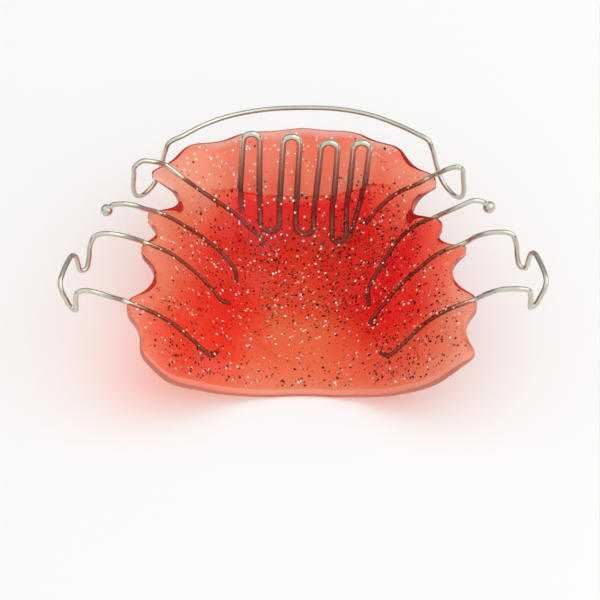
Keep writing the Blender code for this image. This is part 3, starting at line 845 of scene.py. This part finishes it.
def waves(sizes, x, y):
    """Uneven values over the plate, as a sum of waves of given sizes."""
    values = []
    for px, py in zip(x, y):
        place = Vector((px, py, 0.0))
        values.append(sum(amount * noise.noise(place / wave) for wave, amount in sizes))
    return np.array(values)


def polished(x, y):
    """Height of the upper side with its slight unevenness."""
    return upper(x, y) + waves(POLISH_WAVES, x, y)


def calmed(directions):
    """Directions round a closed line, each turned towards the mean of its neighbours'."""
    mean = np.zeros_like(directions)
    for shift in range(-CALM_POINTS, CALM_POINTS + 1):
        share = 0.5 + 0.5 * math.cos(math.pi * shift / (CALM_POINTS + 1))
        mean += share * np.roll(directions, shift, axis=0)
    return mean / np.hypot(*mean.T)[:, None]


def sum_of(rows, x, y):
    """The sum of some patches at some places."""
    total = np.zeros_like(x)
    for px, py, wide, long, amount in rows:
        total += amount * np.exp(-(((x - px) / wide) ** 2 + ((y - py) / long) ** 2) ** PATCH_END)
    return total


def pooled(x, y):
    """How strongly the acrylic is coloured, from 0 where it is thin to 1 where it has pooled."""
    front = pad_front(x) + PAD_COLOUR_AHEAD
    band = ease((front - y) / PAD_COLOUR_STEP) * (1.0 - ease((front - PAD_COLOUR_HOLD - y) / PAD_COLOUR_FADE))
    band *= 1.0 - ease((np.abs(x) - PAD_HALF_WIDTH) / PAD_STEP)
    return np.clip(PAD_COLOUR * band + sum_of(POOLS, x, y) + waves(MOTTLING, x, y), 0.0, 1.0)


def plate_mesh():
    """The plate, whose wires are cured into it."""
    edge = PLATE_EDGE
    way = np.roll(edge, -1, axis=0) - np.roll(edge, 1, axis=0)
    inwards = calmed(np.stack([-way[:, 1], way[:, 0]], axis=1) / np.hypot(*way.T)[:, None])
    shape = bmesh.new()

    def ring(plan, height, drop=0.0):
        z = height(plan[:, 0], plan[:, 1]) + drop
        return [shape.verts.new((*point, level)) for point, level in zip(plan, z)]

    def bridge(outer, inner):
        for i in range(len(outer)):
            j = (i + 1) % len(outer)
            shape.faces.new((outer[i], outer[j], inner[j], inner[i]))

    def fill(border, plan, height):
        net = inside_points(plan)
        corners = border + ring(net, height)
        flat = [Vector(point) for point in np.vstack([plan, net])]
        outline = [list(range(len(plan)))]
        _, _, faces, sources, _, _ = delaunay_2d_cdt(flat, [], outline, FILL_INSIDE, FILL_LIMIT)
        for face in faces:
            shape.faces.new([corners[sources[i][0]] for i in face])

    def sheet(edges, height):
        rings = [ring(edge + inwards * inset, height, drop) for inset, drop in edges]
        for outer, inner in zip(rings, rings[1:]):
            bridge(outer, inner)
        fill(rings[-1], edge + inwards * edges[-1][0], height)
        return rings[0]

    bends = [math.pi / 2.0 * i / EDGE_STEPS for i in range(EDGE_STEPS + 1)]
    upper_edges = [(EDGE_RADIUS * (1.0 - math.cos(a)), EDGE_RADIUS * (math.sin(a) - 1.0)) for a in bends]
    bridge(sheet(upper_edges, polished), sheet([(0.0, TISSUE_EDGE), (TISSUE_EDGE, 0.0)], palate))
    bmesh.ops.recalc_face_normals(shape, faces=shape.faces)
    bmesh.ops.translate(shape, verts=shape.verts, vec=PLACE)
    mesh = mesh_of("acrylic_plate", shape)
    mesh.shade_smooth()
    places = places_of(mesh)
    x, y, z = places.T
    # Painted highlight along the back edge, within a little of the margin
    rim_highlight = ease((RIM_HIGHLIGHT_START_Y - y) / RIM_HIGHLIGHT_START)
    behind = rim_highlight > 0.0
    rim_highlight[behind] *= ~clear_of(edge, places[behind, :2], RIM_HIGHLIGHT_WIDTH)
    give(mesh, "depth", pooled(x, y))
    give(mesh, "under", np.clip((middle(x, y) - z) / UNDER_CHANGE, 0.0, 1.0))
    give(mesh, "rim_highlight", rim_highlight)
    return mesh


def flakes_mesh():
    """Flat flakes in the acrylic, most of them close to its upper side, whose slope they follow."""
    rng = np.random.default_rng(FLAKE_SEED)
    low, high = PLATE_EDGE.min(axis=0), PLATE_EDGE.max(axis=0)
    shape = bmesh.new()
    for kind, tried, outside, bedded, front, least, largest, shallow, deep in FLAKES:
        plan = low + rng.random((tried, 2)) * (high - low)
        share = outside + bedded * np.clip(sum_of(GLITTER_BEDS, *plan.T), 0.0, FULLEST_BED)
        share *= 1.0 + front * sum_of(STEEP_FRONT, *plan.T)
        plan = plan[rng.random(tried) < share]
        plan = plan[within(PLATE_EDGE, plan) & clear_of(PLATE_EDGE, plan, FLAKE_EDGE_ROOM)]
        x, y = plan.T
        depth = shallow + (deep - shallow) * rng.random(len(plan))
        height = polished(x, y) * (1.0 - depth) + palate(x, y) * depth
        for px, py, pz, slope_x, slope_y in zip(x, y, height, *slopes(upper, x, y)):
            centre = Vector((px, py, pz)) + PLACE
            size = least + (largest - least) * rng.random() ** FLAKE_SMALLNESS
            normal = Vector((-slope_x, -slope_y, 1.0)).normalized() + Vector(rng.normal(0.0, FLAKE_TILT, 3))
            side = normal.orthogonal().normalized()
            other = normal.cross(side).normalized()
            turn = rng.random() * math.pi
            angles = [turn + 2.0 * math.pi * i / FLAKE_SIDES for i in range(FLAKE_SIDES)]
            corners = [centre + (side * math.cos(a) + other * math.sin(a)) * size for a in angles]
            face = shape.faces.new([shape.verts.new(corner) for corner in corners])
            face.material_index = kind
    return mesh_of("glitter", shape)


def blank(name):
    """A new material with its nodes cleared but for the output."""
    material = bpy.data.materials.new(name)
    material.use_nodes = True
    tree = material.node_tree
    tree.nodes.clear()
    output = tree.nodes.new("ShaderNodeOutputMaterial")
    return material, tree, output


def node(tree, kind, inputs=(), **settings):
    """A new node with its settings, whose sockets get the given links, numbers and colours."""
    made = tree.nodes.new(kind)
    for name, value in settings.items():
        setattr(made, name, value)
    for socket, value in inputs:
        if isinstance(value, bpy.types.NodeSocket):
            tree.links.new(value, made.inputs[socket])
        else:
            made.inputs[socket].default_value = (*value, 1.0) if isinstance(value, tuple) else value
    return made


def stored(tree, name):
    """A value that the mesh's corners hold."""
    return node(tree, "ShaderNodeAttribute", attribute_name=name).outputs["Fac"]


def grains(tree, scale, detail):
    """Noise on the object, finer for a larger scale."""
    place = node(tree, "ShaderNodeTexCoord").outputs["Object"]
    inputs = [("Vector", place), ("Scale", scale), ("Detail", detail)]
    return node(tree, "ShaderNodeTexNoise", inputs).outputs["Fac"]


def ranged(tree, value, start, end, low, high, **settings):
    """A number that goes from low to high while a value goes from start to end."""
    inputs = [("Value", value), ("From Min", start), ("From Max", end), ("To Min", low), ("To Max", high)]
    return node(tree, "ShaderNodeMapRange", inputs, **settings).outputs["Result"]


def uneven(tree, height, strength, distance):
    """A surface direction that a height disturbs."""
    inputs = [("Height", height), ("Strength", strength), ("Distance", distance)]
    return node(tree, "ShaderNodeBump", inputs).outputs["Normal"]


def colour_between(tree, share, start, end):
    """A colour that goes from one to another with a share."""
    inputs = [("Factor", share), ("A", start), ("B", end)]
    return node(tree, "ShaderNodeMix", inputs, data_type="RGBA").outputs["Result"]


def shader_between(tree, share, start, end):
    """A shader that goes from one to another with a share."""
    return node(tree, "ShaderNodeMixShader", [(0, share), (1, start), (2, end)]).outputs[0]


def ramp(tree, value, stops):
    """A colour that follows a value from stop to stop."""
    made = node(tree, "ShaderNodeValToRGB", [("Fac", value)])
    elements = made.color_ramp.elements
    for i, (place, colour) in enumerate(stops):
        element = elements[i] if i < 2 else elements.new(place)
        element.position = place
        element.color = (*colour, 1.0)
    return made.outputs["Color"]


def acrylic_material():
    """Clear acrylic with a little haze and a painted highlight at its back edge, whose colour varies and whose
    shadows are red.
    """
    material, tree, output = blank("clear_red_acrylic")
    grain = grains(tree, scale=900.0, detail=3.0)
    depth = stored(tree, "depth")
    rim_highlight = stored(tree, "rim_highlight")
    tint = colour_between(tree, stored(tree, "under"), UPPER_TINT, ramp(tree, depth, UNDER_TINTS))
    clear = node(
        tree,
        "ShaderNodeBsdfPrincipled",
        [
            ("Base Color", tint),
            ("Roughness", ranged(tree, grain, NOISE_LOW, NOISE_HIGH, *ACRYLIC_ROUGHNESS)),
            ("IOR", ACRYLIC_IOR),
            ("Transmission Weight", 1.0),
            ("Normal", uneven(tree, grain, strength=0.08, distance=0.1 * MM)),
        ],
    )
    # The back rim's paler haze is a painted highlight
    cloud = colour_between(tree, rim_highlight, ramp(tree, depth, CLOUD_TINTS), RIM_HIGHLIGHT_TINT)
    haze = node(tree, "ShaderNodeBsdfDiffuse", [("Color", cloud)])
    body = shader_between(tree, ranged(tree, rim_highlight, 0.0, 1.0, HAZE, RIM_HIGHLIGHT_HAZE), clear.outputs[0], haze.outputs[0])
    shade = node(tree, "ShaderNodeBsdfTransparent", [("Color", tint)])
    is_shadow = node(tree, "ShaderNodeLightPath").outputs["Is Shadow Ray"]
    tree.links.new(shader_between(tree, is_shadow, body, shade.outputs[0]), output.inputs["Surface"])
    soak = node(tree, "ShaderNodeVolumeAbsorption", [("Color", BODY_TINT), ("Density", ACRYLIC_DENSITY)])
    tree.links.new(soak.outputs[0], output.inputs["Volume"])
    return material


def steel_material():
    """Polished wire with fine drawing marks, with a painted shade where it lies in the acrylic."""
    material, tree, output = blank("polished_steel_wire")
    patch = grains(tree, scale=260.0, detail=2.0)
    tone = colour_between(tree, patch, *STEEL_TINTS)
    marks = grains(tree, scale=2600.0, detail=4.0)
    # Where the wire lies in the acrylic its colour is a painted shade, darker than the steel's own
    steel = node(
        tree,
        "ShaderNodeBsdfPrincipled",
        [
            ("Base Color", colour_between(tree, stored(tree, "buried_shade_share"), tone, BURIED_SHADE_TINT)),
            ("Metallic", STEEL_METALLIC),
            ("Roughness", ranged(tree, patch, NOISE_LOW, NOISE_HIGH, *STEEL_ROUGHNESS)),
            ("Normal", uneven(tree, marks, strength=0.15, distance=0.03 * MM)),
        ],
    )
    tree.links.new(steel.outputs[0], output.inputs["Surface"])
    return material


def flake_material(name, light, dark, metallic, roughness, gloss):
    """Foil whose tone changes from flake to flake."""
    material, tree, output = blank(name)
    tone = colour_between(tree, grains(tree, scale=1500.0, detail=0.0), light, dark)
    sheen = node(
        tree,
        "ShaderNodeBsdfPrincipled",
        [
            ("Base Color", tone),
            ("Metallic", metallic),
            ("Roughness", roughness),
            ("Specular IOR Level", gloss),
        ],
    )
    tree.links.new(sheen.outputs[0], output.inputs["Surface"])
    return material


def floor_material():
    """Plain pale paper."""
    material, tree, output = blank("pale_floor")
    tone = colour_between(tree, grains(tree, scale=14.0, detail=2.0), *FLOOR_TINTS)
    matte = node(tree, "ShaderNodeBsdfPrincipled", [("Base Color", tone), ("Roughness", FLOOR_ROUGHNESS)])
    tree.links.new(matte.outputs[0], output.inputs["Surface"])
    return material


def add_floor():
    """The floor, just under the model."""
    shape = bmesh.new()
    bmesh.ops.create_grid(shape, x_segments=4, y_segments=4, size=FLOOR_SIZE)
    floor = add("floor", mesh_of("floor", shape))
    floor.data.materials.append(floor_material())
    floor.location.z = -FLOOR_GAP


def add_sky():
    """Soft light from all round, by the direction that it comes from."""
    world = bpy.data.worlds.new("studio")
    world.use_nodes = True
    tree = world.node_tree
    looked = node(tree, "ShaderNodeTexCoord").outputs["Generated"]
    parts = node(tree, "ShaderNodeSeparateXYZ", [(0, looked)])
    ahead, rise = parts.outputs["Y"], parts.outputs["Z"]
    smooth = {"interpolation_type": "SMOOTHSTEP"}
    horizon = ranged(tree, ahead, NEAR_FROM, NEAR_TO, NEAR_LIGHT, DIM_LIGHT, **smooth)
    bright = ranged(tree, rise, BRIGHT_FROM, BRIGHT_TO, horizon, BRIGHT_LIGHT, **smooth)
    beyond = ranged(tree, ahead, FAR_FROM, FAR_TO, 1.0, FAR_SHARE, **smooth)
    glow = node(tree, "ShaderNodeMath", [(0, bright), (1, beyond)], operation="MULTIPLY")
    background = tree.nodes["Background"]
    tree.links.new(glow.outputs[0], background.inputs["Strength"])
    background.inputs["Color"].default_value = (1.0, 1.0, 1.0, 1.0)
    bpy.context.scene.world = world


def add_lamp():
    """One large soft lamp at the right, which points at the model."""
    light = bpy.data.lights.new("key_light", "AREA")
    light.size = LAMP_WIDTH
    light.energy = LAMP_POWER
    lamp = add("key_light", light)
    lamp.location = LAMP_PLACE
    lamp.rotation_euler = (-LAMP_PLACE).to_track_quat("-Z", "Y").to_euler()


def add_camera():
    """A camera that sees the model as the photograph does."""
    ahead = Vector((0.0, math.cos(CAMERA_RISE), -math.sin(CAMERA_RISE)))
    upwards = Vector((0.0, math.sin(CAMERA_RISE), math.cos(CAMERA_RISE)))
    lens = bpy.data.cameras.new("camera")
    lens.sensor_width = SENSOR_WIDTH
    lens.lens = FOCAL_PIXELS / PICTURE_PIXELS * SENSOR_WIDTH
    camera = add("camera", lens)
    right, up = AIM_PIXELS
    way = ahead - upwards * up / FOCAL_PIXELS - Vector((right / FOCAL_PIXELS, 0.0, 0.0))
    camera.location = PLACE - way * CAMERA_DISTANCE
    camera.rotation_euler = ahead.to_track_quat("-Z", "Y").to_euler()
    bpy.context.scene.camera = camera


# The plate and its glitter
PLATE_EDGE = margin()
keep("acrylic_plate", plate_mesh(), [acrylic_material()], "red_acrylic", "baseplate")
keep("glitter", flakes_mesh(), [flake_material(*foil) for foil in FOILS], "red_acrylic")

# The wires
STEEL = steel_material()
keep_wire("tongue_crib_wire", crib_path(), CRIB_WIRE, "tongue_crib")
keep_wire("labial_bow_wire", bow_path(), CLASP_WIRE, "labial_bow")
for side, plan, crossing, ball in (
    ("left", LEFT_BALL_TAG, LEFT_BALL_CROSSING, LEFT_BALL),
    ("right", RIGHT_BALL_TAG, RIGHT_BALL_CROSSING, RIGHT_BALL),
):
    path, widths = ball_clasp(plan, crossing, ball)
    keep_wire(f"ball_clasp_wire_{side}", path, CLASP_WIRE, f"ball_clasp_{side}", widths)
for side, necks, *ways in (
    ("left", LEFT_NECKS, LEFT_FRONT_TAG, LEFT_FRONT_CROSSING, LEFT_BACK_TAG, LEFT_BACK_CROSSING),
    ("right", RIGHT_NECKS, RIGHT_FRONT_TAG, RIGHT_FRONT_CROSSING, RIGHT_BACK_TAG, RIGHT_BACK_CROSSING),
):
    keep_wire(f"adams_clasp_wire_{side}", adams_path(necks, *ways), CLASP_WIRE, f"adams_clasp_{side}")

# Floor, light and camera
add_floor()
add_sky()
add_lamp()
add_camera()
bpy.context.scene.view_settings.view_transform = "Standard"
